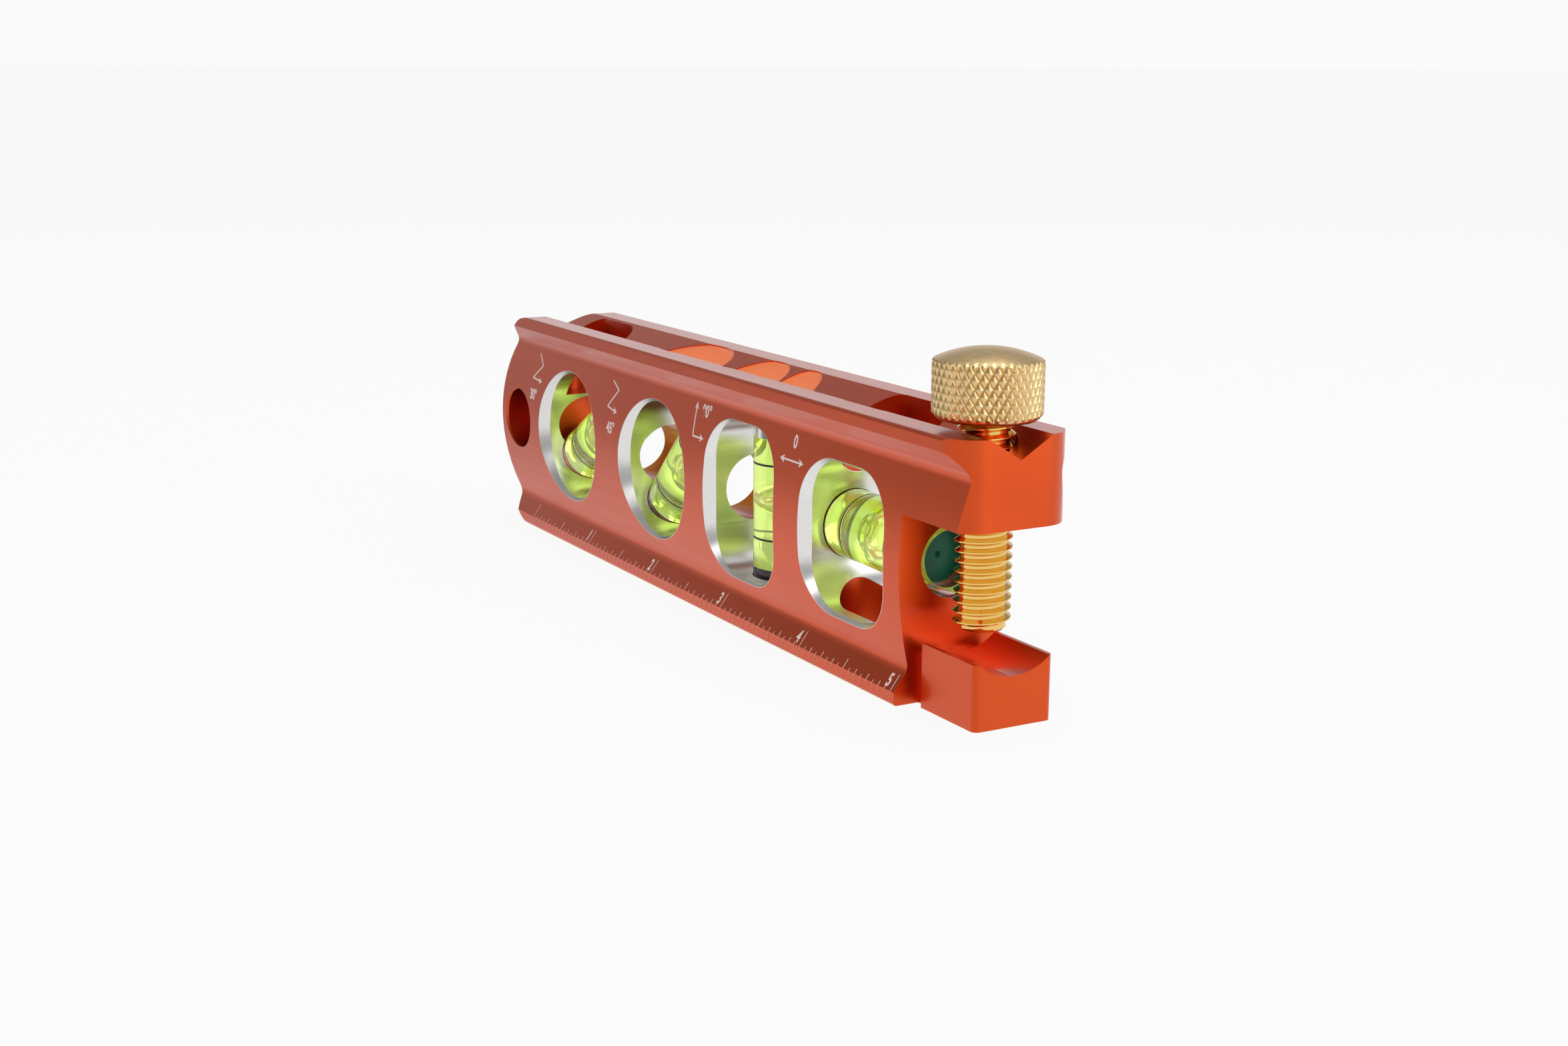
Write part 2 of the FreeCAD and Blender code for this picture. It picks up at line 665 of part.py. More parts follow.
faults = [item.Name for item in doc.Objects if "Invalid" in item.State or "Error" in item.State]
faults += [piece.Label for piece in pieces if piece.Shape.isNull() or not piece.Shape.isValid()]
if faults:
    raise RuntimeError(f"These objects failed: {faults}")

os.makedirs("parts", exist_ok=True)
for piece in pieces:
    piece.Shape.exportStep(f"parts/{piece.Label}.step")
    box = piece.Shape.optimalBoundingBox(False)
    print(f"{piece.Label}: {len(piece.Shape.Solids)} solid, {piece.Shape.Volume:.1f} mm3, "
          f"X {box.XMin:.2f} to {box.XMax:.2f}, Z {box.ZMin:.2f} to {box.ZMax:.2f}")
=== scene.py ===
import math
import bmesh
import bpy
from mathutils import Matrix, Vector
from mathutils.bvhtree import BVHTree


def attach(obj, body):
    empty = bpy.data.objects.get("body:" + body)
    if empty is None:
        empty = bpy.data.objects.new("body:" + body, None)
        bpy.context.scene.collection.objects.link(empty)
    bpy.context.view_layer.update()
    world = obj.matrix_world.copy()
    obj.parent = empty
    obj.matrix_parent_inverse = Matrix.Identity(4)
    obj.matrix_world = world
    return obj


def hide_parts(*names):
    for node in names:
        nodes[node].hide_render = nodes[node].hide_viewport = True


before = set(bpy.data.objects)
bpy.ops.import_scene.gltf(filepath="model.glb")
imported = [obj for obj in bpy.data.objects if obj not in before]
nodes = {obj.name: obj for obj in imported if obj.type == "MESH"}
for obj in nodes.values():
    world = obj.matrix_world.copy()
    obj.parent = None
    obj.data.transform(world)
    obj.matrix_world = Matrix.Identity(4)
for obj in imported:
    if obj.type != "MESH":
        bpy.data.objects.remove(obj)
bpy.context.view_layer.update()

# %% [markdown]
# # A machined pocket level
# The real object is one bar of aluminium, milled, drilled and then dyed red-orange by anodising.
# Four windows are cut after the dye, so their walls are bare bright metal.
# Each window holds a clear acrylic vial of yellow-green fluid, and a brass thumbscrew closes the nose.
# The solids come from the frame. This lesson gives them finishes, and adds what is too fine for the solids:
# the screw's thread, the knurl and the marks. It also adds the compound that shuts the vials' bores, and
# remakes the fluid so that it wets the acrylic.

MM = 0.001

# %% [markdown]
# ## Sizes that the finishes share
# The finishes have to know where the windows, bores and rails are, so the main sizes are written once.
# The frame's origin is in the middle of the bottom face, with X along the level and Z up.

# %% Name the sizes, in millimetres
LENGTH = 158.75
HEIGHT = 39.8
MID = HEIGHT / 2
TAIL = -LENGTH / 2
NOSE = LENGTH / 2
INCH = 25.4
RULER_ZERO = TAIL + 15.6
WEB_HALF = 9.05            # from the middle to the crest of the bulged web
RAIL_STRIP = 2.0           # height of the upright strip at the foot of the rail
SCREW_X = NOSE - 8.15
# Each window: its middle in X, its width and height, and the radius of its corners.
WINDOWS = {
    "bend30": (TAIL + 30.6, 23.0, 23.0, 11.5),
    "bend45": (TAIL + 65.65, 23.0, 23.0, 11.5),
    "plumb": (TAIL + 96.5, 20.5, 24.8, 7.0),
    "level": (TAIL + 127.5, 21.3, 22.4, 7.0),
}
VIAL_TILT = {"level": 0, "plumb": 90, "bend45": 45, "bend30": 30}
print("windows at X =", [round(size[0], 2) for size in WINDOWS.values()])

# %% [markdown]
# ## Where the camera stands
# The camera was found from the ruler marks: five inches along the lower edge fix its distance and its lens.
# It looks at the nose from the right, a little above, and rolls by a fraction of a degree.
# Making it first means that every finish is judged in the right picture.

# %% Set up the camera
camera_data = bpy.data.cameras.new("camera")
camera_data.sensor_width = 36.0
camera_data.lens = 47.81
camera_data.clip_start = 0.01
camera = bpy.data.objects.new("camera", camera_data)
bpy.context.scene.collection.objects.link(camera)
camera_place = (0.297625, -0.1601, 0.0886)
heading, pitch, bank = math.radians(60.356), math.radians(12.696), math.radians(0.393)
forward = Vector((-math.sin(heading) * math.cos(pitch), math.cos(heading) * math.cos(pitch),
                  -math.sin(pitch)))
level_right = Vector((math.cos(heading), math.sin(heading), 0))
level_down = forward.cross(level_right)
right = level_right * math.cos(bank) - level_down * math.sin(bank)
down = level_right * math.sin(bank) + level_down * math.cos(bank)
axes = Matrix((right, -down, -forward)).transposed().to_4x4()
camera.matrix_world = Matrix.Translation(camera_place) @ axes
bpy.context.scene.camera = camera
print("camera at", [round(c, 4) for c in camera.location])

# %% [markdown]
# ## Colours and nodes
# Colours are written as the hex values that a screen shows, and one function turns them to the linear
# values that a renderer adds up. One more function adds a node, sets it up and links it, so that each
# material and each Geometry Nodes tree reads as a list of steps.

# %% Two helpers for materials and trees
def colour(hex_text, alpha=1.0):
    """Linear colour of an sRGB hex value."""
    channels = [int(hex_text[i:i + 2], 16) / 255 for i in (1, 3, 5)]
    linear = [c / 12.92 if c <= 0.04045 else ((c + 0.055) / 1.055) ** 2.4 for c in channels]
    return (*linear, alpha)


def add(tree, kind, inputs=None, **settings):
    """Add a node to a tree. An input is given by name or number, and is a value or the socket to link."""
    node = tree.nodes.new(kind)
    for name, value in settings.items():
        setattr(node, name, value)
    for name, value in (inputs or {}).items():
        if isinstance(value, bpy.types.NodeSocket):
            tree.links.new(value, node.inputs[name])
        else:
            node.inputs[name].default_value = value
    return node


def new_material(name, kind="ShaderNodeBsdfPrincipled", inputs=None):
    """Material with one shader on its output."""
    material = bpy.data.materials.new(name)
    material.use_nodes = True
    tree = material.node_tree
    tree.nodes.clear()
    shader = add(tree, kind, inputs)
    add(tree, "ShaderNodeOutputMaterial", {"Surface": shader.outputs[0]})
    return material, tree, shader


print("orange dye in linear light:", [round(c, 3) for c in colour("#d9531e")])

# %% [markdown]
# ## The white table
# The level lies on a white sweep, in a room that is bright near the horizon, and dimmer above and towards
# the photographer's side. To the camera, to mirrors and through glass the floor is mostly plain white, so
# metal and acrylic show a bright room, and a small share of it is lit paper, which keeps a faint shadow.
# Other rays see only the paper. In mirrors the floor dims towards the tail, where less of the light falls.

# %% Lay the floor
def seen_directly(tree):
    """1 for rays from the camera, off a mirror or through glass, 0 for soft light."""
    path = add(tree, "ShaderNodeLightPath").outputs
    off_mirror = add(tree, "ShaderNodeMath", {0: path["Is Camera Ray"], 1: path["Is Glossy Ray"]},
                     operation="MAXIMUM")
    seen = add(tree, "ShaderNodeMath", {0: off_mirror.outputs[0], 1: path["Is Transmission Ray"]},
               operation="MAXIMUM")
    return seen.outputs[0]


PLAIN_WHITE = 0.93         # share of the floor that is plain white where it is seen directly


def white_sweep():
    material, tree, paper = new_material("white_paper_sweep", "ShaderNodeBsdfDiffuse",
                                         {"Color": colour("#e4e4e4")})
    where = add(tree, "ShaderNodeTexCoord")
    along = add(tree, "ShaderNodeSeparateXYZ", {0: where.outputs["Object"]})
    falloff = add(tree, "ShaderNodeMapRange", {
        "Value": along.outputs["X"], "From Min": -0.26, "From Max": 0.02, "To Min": 0.5, "To Max": 1.0},
        interpolation_type="SMOOTHSTEP")
    path = add(tree, "ShaderNodeLightPath")
    strength = add(tree, "ShaderNodeMix", {0: path.outputs["Is Glossy Ray"], 2: 1.0, 3: falloff.outputs[0]})
    glow = add(tree, "ShaderNodeEmission", {"Color": colour("#fdfdfd"), "Strength": strength.outputs[0]})
    share = add(tree, "ShaderNodeMath", {0: seen_directly(tree), 1: PLAIN_WHITE}, operation="MULTIPLY")
    mix = add(tree, "ShaderNodeMixShader", {0: share.outputs[0], 1: paper.outputs[0], 2: glow.outputs[0]})
    tree.links.new(mix.outputs[0], tree.nodes["Material Output"].inputs["Surface"])
    return material


reach, floor_height = 12.0, -0.1 * MM
corners = [(x * reach, y * reach, floor_height) for x, y in ((-1, -1), (1, -1), (1, 1), (-1, 1))]
floor_mesh = bpy.data.meshes.new("floor")
floor_mesh.from_pydata(corners, [], [(0, 1, 2, 3)])
floor_mesh.materials.append(white_sweep())
floor = bpy.data.objects.new("floor", floor_mesh)
bpy.context.scene.collection.objects.link(floor)
print("floor reaches", reach, "m each way")

# %% Light it
def soft_lamp(name, place, aim, size, watts):
    """Square area lamp that looks at a point."""
    lamp = bpy.data.lights.new(name, "AREA")
    lamp.size = size
    lamp.energy = watts
    holder = bpy.data.objects.new(name, lamp)
    holder.location = place
    holder.rotation_euler = (Vector(aim) - Vector(place)).to_track_quat("-Z", "Y").to_euler()
    bpy.context.scene.collection.objects.link(holder)


soft_lamp("overhead", (0.0, 0.1, 0.95), (0, 0, 0.02), 0.7, 4.2)
soft_lamp("over_the_camera", (0.55, -0.4, 0.75), (0, 0, 0.02), 0.6, 2.6)
soft_lamp("nose_panel", (0.95, 0.35, 0.35), (0.05, 0, 0.02), 0.8, 3.6)

world = bpy.data.worlds.new("bright_room")
world.use_nodes = True
bpy.context.scene.world = world
tree = world.node_tree
tree.nodes.clear()
direction = add(tree, "ShaderNodeTexCoord")
height = add(tree, "ShaderNodeSeparateXYZ", {0: direction.outputs["Generated"]})
dimming = add(tree, "ShaderNodeMapRange", {"Value": height.outputs["Z"], "From Min": 0.16, "From Max": 0.45,
                                           "To Min": 0.80, "To Max": 0.38}, interpolation_type="SMOOTHSTEP")
shade = add(tree, "ShaderNodeMapRange", {"Value": height.outputs["Y"], "From Min": -0.6, "From Max": -0.1,
                                         "To Min": 0.55, "To Max": 1.0})
strength = add(tree, "ShaderNodeMath", {0: dimming.outputs[0], 1: shade.outputs[0]}, operation="MULTIPLY")
room = add(tree, "ShaderNodeBackground", {"Color": colour("#ffffff"), "Strength": strength.outputs[0]})
backdrop = add(tree, "ShaderNodeBackground", {"Color": colour("#fafafa")})
path = add(tree, "ShaderNodeLightPath")
mix = add(tree, "ShaderNodeMixShader",
          {0: path.outputs["Is Camera Ray"], 1: room.outputs[0], 2: backdrop.outputs[0]})
add(tree, "ShaderNodeOutputWorld", {"Surface": mix.outputs[0]})
bpy.context.scene.view_settings.view_transform = "Standard"
print("three lamps, and a room that dims from 9 to 27 degrees up, and towards the photographer's side")

# %% [markdown]
# ## Anodised aluminium
# Anodising grows a thin clear oxide on the metal, and the dye sits in it. The eye gets two things from it:
# a deep orange metal, and over it a pale clear gloss that takes over where the surface is seen at a slant.
# So the metal is the shader's base and the oxide is its coat. End mills leave fine lines along the bar,
# half a millimetre apart, which show as streaks in the gloss.
# The windows were bored after the dye, so their walls are bare. One mask tells the two apart: it measures
# how far a point lies outside each window's outline, and allows for the bevel that widens it at the face.

# %% Measure the distance outside a window
def window_distance():
    """Node group: distance in millimetres outside a rounded rectangle in X and Z."""
    group = bpy.data.node_groups.new("outside_window", "ShaderNodeTree")
    for name in ("X", "Z", "Centre X", "Straight half width", "Straight half height", "Corner"):
        group.interface.new_socket(name, in_out="INPUT", socket_type="NodeSocketFloat")
    group.interface.new_socket("Distance", in_out="OUTPUT", socket_type="NodeSocketFloat")
    given = add(group, "NodeGroupInput").outputs
    sides = []
    for axis, centre, half in (("X", given["Centre X"], "Straight half width"),
                               ("Z", MID, "Straight half height")):
        offset = add(group, "ShaderNodeMath", {0: given[axis], 1: centre}, operation="SUBTRACT")
        away = add(group, "ShaderNodeMath", {0: offset.outputs[0]}, operation="ABSOLUTE")
        past = add(group, "ShaderNodeMath", {0: away.outputs[0], 1: given[half]}, operation="SUBTRACT")
        side = add(group, "ShaderNodeMath", {0: past.outputs[0], 1: 0.0}, operation="MAXIMUM")
        sides.append(add(group, "ShaderNodeMath", {0: side.outputs[0], 1: 2.0}, operation="POWER").outputs[0])
    squares = add(group, "ShaderNodeMath", {0: sides[0], 1: sides[1]}, operation="ADD")
    reach = add(group, "ShaderNodeMath", {0: squares.outputs[0]}, operation="SQRT")
    distance = add(group, "ShaderNodeMath", {0: reach.outputs[0], 1: given["Corner"]}, operation="SUBTRACT")
    add(group, "NodeGroupOutput", {"Distance": distance.outputs[0]})
    return group


outside_window = window_distance()
print("group", outside_window.name, "has", len(outside_window.nodes), "nodes")

# %% Make the mask of the bare windows
BEVEL_SLOPE = math.tan(math.radians(35))
BEVEL_START = WEB_HALF - 1.8       # distance from the middle at which the bevel begins
CUT_MARGIN = 0.06                  # how far the bare metal may lie outside the outline


def bare_mask(tree, place):
    """1 on the windows' walls and bevels, 0 on the dyed metal. place gives X, Y and Z in millimetres."""
    depth = add(tree, "ShaderNodeMath", {0: place["Y"]}, operation="ABSOLUTE")
    bevel = add(tree, "ShaderNodeMath", {0: depth.outputs[0], 1: BEVEL_SLOPE, 2: -BEVEL_START * BEVEL_SLOPE},
                operation="MULTIPLY_ADD")
    allowed = add(tree, "ShaderNodeMath", {0: bevel.outputs[0], 1: 0.0}, operation="MAXIMUM")
    nearest = 1000.0
    for centre, width, height, corner in WINDOWS.values():
        distance = add(tree, "ShaderNodeGroup", node_tree=outside_window)
        for name, value in (("X", place["X"]), ("Z", place["Z"])):
            tree.links.new(value, distance.inputs[name])
        for name, value in (("Centre X", centre), ("Straight half width", width / 2 - corner),
                            ("Straight half height", height / 2 - corner), ("Corner", corner)):
            distance.inputs[name].default_value = value
        nearest = add(tree, "ShaderNodeMath", {0: distance.outputs[0], 1: nearest},
                      operation="MINIMUM").outputs[0]
    gap = add(tree, "ShaderNodeMath", {0: nearest, 1: allowed.outputs[0]}, operation="SUBTRACT")
    return add(tree, "ShaderNodeMath", {0: gap.outputs[0], 1: CUT_MARGIN}, operation="LESS_THAN").outputs[0]


print("mask covers", len(WINDOWS), "windows")

# %% Read places in millimetres, and draw tool marks
def place_in_mm(tree):
    """Place on the piece in millimetres, as one vector."""
    where = add(tree, "ShaderNodeTexCoord")
    return add(tree, "ShaderNodeVectorMath", {0: where.outputs["Object"], "Scale": 1 / MM},
               operation="SCALE").outputs[0]


def grain(tree, place, spacing):
    """Noise with a grain of so many millimetres along X, Y and Z, for tool marks, polish and tint."""
    stretched = add(tree, "ShaderNodeVectorMath", {0: place, 1: [1 / size for size in spacing]},
                    operation="MULTIPLY")
    noise = add(tree, "ShaderNodeTexNoise", {"Vector": stretched.outputs[0], "Scale": 1.0, "Detail": 3.0,
                                             "Roughness": 0.55})
    return noise.outputs["Fac"]


def finish_surface(tree, shader, marks, smoother, rougher, depth):
    """Let a grain vary the roughness, and raise the surface by a depth in millimetres."""
    rough = add(tree, "ShaderNodeMapRange", {"Value": marks, "From Min": 0.3, "From Max": 0.7,
                                             "To Min": smoother, "To Max": rougher})
    tree.links.new(rough.outputs[0], shader.inputs["Roughness"])
    bump = add(tree, "ShaderNodeBump", {"Height": marks, "Strength": 1.0, "Distance": depth * MM})
    tree.links.new(bump.outputs[0], shader.inputs["Normal"])


def tint(tree, factor, first, second):
    """Colour between two hex values."""
    mix = add(tree, "ShaderNodeMix", {0: factor, 6: colour(first), 7: colour(second)}, data_type="RGBA")
    return mix.outputs[2]


print("grains are given in millimetres")

# %% Dye the bar and leave its windows bare
def anodised_aluminium():
    # The coat's IOR is low, matched so that its gloss shows only where the bar is seen at a slant.
    material, tree, shader = new_material("anodised_aluminium_orange", inputs={
        "Metallic": 1.0, "Coat Roughness": 0.12, "Coat IOR": 1.2})
    place = place_in_mm(tree)
    axes = add(tree, "ShaderNodeSeparateXYZ", {0: place}).outputs
    bare = bare_mask(tree, axes)
    # Milling runs along the bar. The windows are cut across it, with fainter marks and a smoother wall.
    milled = grain(tree, place, (40.0, 0.9, 0.45))
    bored = grain(tree, place, (0.5, 12.0, 0.5))
    faint = add(tree, "ShaderNodeMapRange", {"Value": bored, "To Min": 0.35, "To Max": 0.65})
    marks = add(tree, "ShaderNodeMix", {0: bare, 2: milled, 3: faint.outputs[0]})
    finish_surface(tree, shader, marks.outputs[0], 0.32, 0.40, 0.0006)
    rough = shader.inputs["Roughness"].links[0].from_socket
    rough = add(tree, "ShaderNodeMath", {0: bare, 1: -0.07, 2: rough}, operation="MULTIPLY_ADD")
    tree.links.new(rough.outputs[0], shader.inputs["Roughness"])
    dye = tint(tree, grain(tree, place, (9.0, 9.0, 9.0)), "#cf4a1c", "#d9541f")
    metal = tint(tree, bored, "#dfdedc", "#efeeec")
    colours = add(tree, "ShaderNodeMix", {0: bare, 6: dye, 7: metal}, data_type="RGBA")
    tree.links.new(colours.outputs[2], shader.inputs["Base Color"])
    coat = add(tree, "ShaderNodeMath", {0: 1.0, 1: bare}, operation="SUBTRACT")
    tree.links.new(coat.outputs[0], shader.inputs["Coat Weight"])
    return material


def refinish(node_name, material):
    """Give a solid of the frame its finish."""
    nodes[node_name].data.materials.clear()
    nodes[node_name].data.materials.append(material)


refinish("level_body", anodised_aluminium())
print("level body is anodised, its windows bare")

# %% [markdown]
# ## Vials
# A vial is a bar of clear acrylic, drilled from one end, filled with dyed spirit and shut with a plug.
# The spirit wets the wall, so no gloss shows between them. To get that, the fluid reaches 0.05 mm into the
# acrylic: light is then bent at both surfaces, and the two bends add up to the small one between the
# real materials. The dye takes out blue in the first millimetres and red in the next ones, so thin fluid
# is yellow and thick fluid is green. It also glows a little: a painted glow that stands in for the dye's
# fluorescent highlights where the lamps light it.

# %% Clear acrylic, plug and rings
def clear_acrylic():
    # Turned and polished acrylic gives the eye sharp gloss with a faint wobble in it.
    material, tree, shader = new_material("clear_acrylic", inputs={
        "Transmission Weight": 1.0, "IOR": 1.49})
    place = place_in_mm(tree)
    tree.links.new(tint(tree, grain(tree, place, (6.0, 6.0, 6.0)), "#fbfffb", "#ffffff"),
                   shader.inputs["Base Color"])
    finish_surface(tree, shader, grain(tree, place, (2.5, 2.5, 2.5)), 0.0, 0.02, 0.002)
    return material


def moulded_plug():
    # Polyethylene comes from the mould with a soft, slightly waxy shine.
    material, tree, shader = new_material("moulded_polyethylene_plug", inputs={
        "IOR": 1.5, "Specular IOR Level": 0.3})
    place = place_in_mm(tree)
    tree.links.new(tint(tree, grain(tree, place, (3.0, 3.0, 3.0)), "#0a6446", "#12785a"),
                   shader.inputs["Base Color"])
    finish_surface(tree, shader, grain(tree, place, (0.6, 0.6, 0.6)), 0.25, 0.4, 0.004)
    return material


def ring_enamel():
    # Enamel fills a groove round the vial. It reads as a thin black line with hardly any shine.
    material, tree, shader = new_material("black_ring_enamel", inputs={"IOR": 1.5})
    place = place_in_mm(tree)
    tree.links.new(tint(tree, grain(tree, place, (0.8, 0.8, 0.8)), "#0c0d0c", "#1a1c1a"),
                   shader.inputs["Base Color"])
    finish_surface(tree, shader, grain(tree, place, (0.3, 0.3, 0.3)), 0.3, 0.5, 0.003)
    return material


acrylic, plug, enamel = clear_acrylic(), moulded_plug(), ring_enamel()
for vial in VIAL_TILT:
    refinish(f"{vial}_vial_barrel", acrylic)
    refinish(f"{vial}_vial_plug", plug)
    refinish(f"{vial}_vial_rings", enamel)
print("four barrels, plugs and pairs of rings")

# %% Fluid
DYE_PASSES = (0.82, 0.95, 0.36, 1.0)       # shares of red, green and blue, as the absorption node takes them
DYE_DENSITY = 275.0                        # how strongly the rest is taken out, for each metre


def dyed_spirit():
    # The emission is a painted glow: it stands in for the dye's fluorescent yellow highlights where the lamps
    # light it.
    material, tree, shader = new_material("fluorescent_spirit_painted_glow", inputs={
        "Transmission Weight": 1.0, "IOR": 1.38, "Roughness": 0.0,
        "Emission Color": colour("#ecec54"), "Emission Strength": 0.09})
    place = place_in_mm(tree)
    tree.links.new(tint(tree, grain(tree, place, (4.0, 4.0, 4.0)), "#fafed0", "#fdffdc"),
                   shader.inputs["Base Color"])
    absorb = add(tree, "ShaderNodeVolumeAbsorption", {"Color": DYE_PASSES, "Density": DYE_DENSITY})
    tree.links.new(absorb.outputs[0], tree.nodes["Material Output"].inputs["Volume"])
    return material


def keep_piece(name, mesh, material, body, slot, *replaced, sharp=35):
    """Link a finished mesh as a piece that rides on a body. Edges over so many degrees stay sharp."""
    mesh.materials.clear()
    mesh.materials.append(material)
    mesh.shade_smooth()
    mesh.set_sharp_from_angle(angle=math.radians(sharp))
    piece = bpy.data.objects.new(name, mesh)
    bpy.context.scene.collection.objects.link(piece)
    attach(piece, body)
    for node in replaced:
        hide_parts(node)
    return piece


def wet_the_wall(node_name, window, tilt, reach=0.05 * MM):
    """Copy of the fluid whose outer skin reaches into the barrel. The bubble inside it stays as it is."""
    bm = bmesh.new()
    bm.from_mesh(nodes[node_name].data)
    bmesh.ops.remove_doubles(bm, verts=bm.verts, dist=0.002 * MM)
    middle = Vector((WINDOWS[window][0], 0, MID)) * MM
    axis = Vector((math.cos(math.radians(tilt)), 0, math.sin(math.radians(tilt))))
    for vert in skin_of(bm):
        offset = vert.co - middle
        along = axis * offset.dot(axis)
        out = offset - along
        if out.length > 0.001 * MM:        # a point on the axis has no way out
            vert.co += out.normalized() * reach
    mesh = bpy.data.meshes.new(f"{window}_fluid")
    bm.to_mesh(mesh)
    bm.free()
    return mesh


def skin_of(bm):
    """Vertices of the shell with the largest box."""
    shells, seen = [], set()
    for start in bm.verts:
        if start in seen:
            continue
        shell, queue = [], [start]
        seen.add(start)
        while queue:
            vert = queue.pop()
            shell.append(vert)
            for edge in vert.link_edges:
                other = edge.other_vert(vert)
                if other not in seen:
                    seen.add(other)
                    queue.append(other)
        shells.append(shell)
    return max(shells, key=lambda shell: max(v.co.x for v in shell) - min(v.co.x for v in shell))


spirit = dyed_spirit()
for vial, tilt in VIAL_TILT.items():
    fluid = keep_piece(f"{vial}_fluid", wet_the_wall(f"{vial}_vial_fluid", vial, tilt), spirit, "frame",
                       "vial_fluid", f"{vial}_vial_fluid")
    print(fluid.name, "has", len(fluid.data.polygons), "faces")

# %% [markdown]
# ## Potting compound
# Three vials go in through the groove on top, and an orange compound shuts the bores above them. It is poured
# in, wiped to the shape of the groove, and sinks a little as it cures, while its edge clings to the bore.
# So each plug is a round bar along its bore, cut off by the groove's two flanks. A grid of rings makes it:
# every point slides along the bore until it meets the groove. It cures to an even orange with a dull shine.

# %% Pour the compound
GROOVE_HALF, GROOVE_DEPTH = 5.1, 3.1
CREASE = 0.5                       # softens the fold where the compound crosses the bottom of the groove
SINK, CLIMB = 0.45, 0.25           # how far it sinks in the middle, and how much less at the bore's wall
BORE_RADIUS = 5.41
VIAL_END = 15.06                   # from the window's middle to the vial's end, along the bore
RING_RADII = (1.4, 2.8, 4.0, 4.7, 5.1, 5.3, BORE_RADIUS)     # closer where the edge climbs


def groove_height(y, out):
    """Height of the sunken compound, where out is 0 on the bore's axis and 1 at its wall."""
    flank = HEIGHT - GROOVE_DEPTH + math.hypot(y, CREASE) * GROOVE_DEPTH / GROOVE_HALF
    return min(flank, HEIGHT) - SINK + CLIMB * out ** 6


def compound_plug(centre_x, tilt, columns=64):
    """Closed plug from the end of a vial up to the groove."""
    axis = Vector((math.cos(math.radians(tilt)), 0, math.sin(math.radians(tilt))))
    sides = (Vector((0, 1, 0)), Vector((-axis.z, 0, axis.x)))
    middle = Vector((centre_x, 0, MID))
    bm = bmesh.new()

    def ring(radius, at_end):
        points = []
        for column in range(columns):
            angle = math.tau * column / columns
            offset = sides[0] * (radius * math.cos(angle)) + sides[1] * (radius * math.sin(angle))
            top = (groove_height(offset.y, radius / BORE_RADIUS) - MID - offset.z) / axis.z
            points.append(bm.verts.new((middle + offset + axis * (VIAL_END if at_end else top)) * MM))
        return points

    rings = [ring(radius, False) for radius in RING_RADII] + [ring(BORE_RADIUS, True)]
    for inner, outer in zip(rings, rings[1:]):
        for column in range(columns):
            following = (column + 1) % columns
            bm.faces.new((inner[column], outer[column], outer[following], inner[following]))
    bm.faces.new(rings[-1])
    crown = bm.verts.new((middle + axis * ((groove_height(0, 0) - MID) / axis.z)) * MM)
    for column in range(columns):
        bm.faces.new((crown, rings[0][column], rings[0][(column + 1) % columns]))
    bmesh.ops.recalc_face_normals(bm, faces=bm.faces)
    mesh = bpy.data.meshes.new("compound_plug")
    bm.to_mesh(mesh)
    bm.free()
    return mesh


def potting_compound():
    material, tree, shader = new_material("orange_potting_compound", inputs={"IOR": 1.5})
    place = place_in_mm(tree)
    tree.links.new(tint(tree, grain(tree, place, (2.0, 2.0, 2.0)), "#ee7840", "#f4864c"),
                   shader.inputs["Base Color"])
    finish_surface(tree, shader, grain(tree, place, (0.8, 0.8, 0.8)), 0.4, 0.55, 0.004)
    return material


compound = potting_compound()
for vial in ("bend30", "bend45", "plumb"):
    plug_mesh = compound_plug(WINDOWS[vial][0], VIAL_TILT[vial])
    piece = keep_piece(f"{vial}_compound", plug_mesh, compound, "frame", "vial_plug")
    print(piece.name, "has", len(plug_mesh.polygons), "faces")

# %% [markdown]
# ## Brass and nickel
# The knob and the screw are turned from brass bar. The knob's face is turned and then dulled by handling, and
# its knurl is pressed in, so it is less bright than the thread, which a die has just burnished.
# The magnets are pressed into the base and have a nickel skin.

# %% Metals of the small parts
def turned_brass(name, first, second, smoother, rougher, depth):
    material, tree, shader = new_material(name, inputs={"Metallic": 1.0})
    place = place_in_mm(tree)
    tree.links.new(tint(tree, grain(tree, place, (2.0, 2.0, 2.0)), first, second),
                   shader.inputs["Base Color"])
    finish_surface(tree, shader, grain(tree, place, (1.2, 1.2, 0.15)), smoother, rougher, depth)
    return material


def nickel_plate():
    # Nickel over a ground magnet is a warm grey that mirrors softly.
    material, tree, shader = new_material("nickel_plate", inputs={"Metallic": 1.0})
    place = place_in_mm(tree)
    tree.links.new(tint(tree, grain(tree, place, (3.0, 3.0, 3.0)), "#b9b4a8", "#cbc7bd"),
                   shader.inputs["Base Color"])
    finish_surface(tree, shader, grain(tree, place, (0.4, 0.4, 0.4)), 0.18, 0.32, 0.003)
    return material


satin_brass = turned_brass("satin_turned_brass", "#dcbb86", "#e4c692", 0.27, 0.36, 0.00015)
bright_brass = turned_brass("bright_threaded_brass", "#e6bc66", "#efcb80", 0.08, 0.16, 0.001)
nickel = nickel_plate()
for number in range(1, 5):
    refinish(f"magnet_{number}", nickel)
print("brass, and nickel on four magnets")

# %% [markdown]
# ## Thread and knurl
# Both repeat by a rule, so Geometry Nodes make them from a flat grid that is rolled into a tube.
# For the thread, the grid's rows climb by one pitch in each turn, and four rows make the V: the two edges of
# the crest and the two edges of the root. For the knurl, two sets of grooves cross at a slant, and the metal
# swells to a low pillow between them: the surface drops with the square of how near a point is to its groove.
# The grid's points lie on the grooves, so they stay crisp. Bmesh then closes the ends with the turned faces.

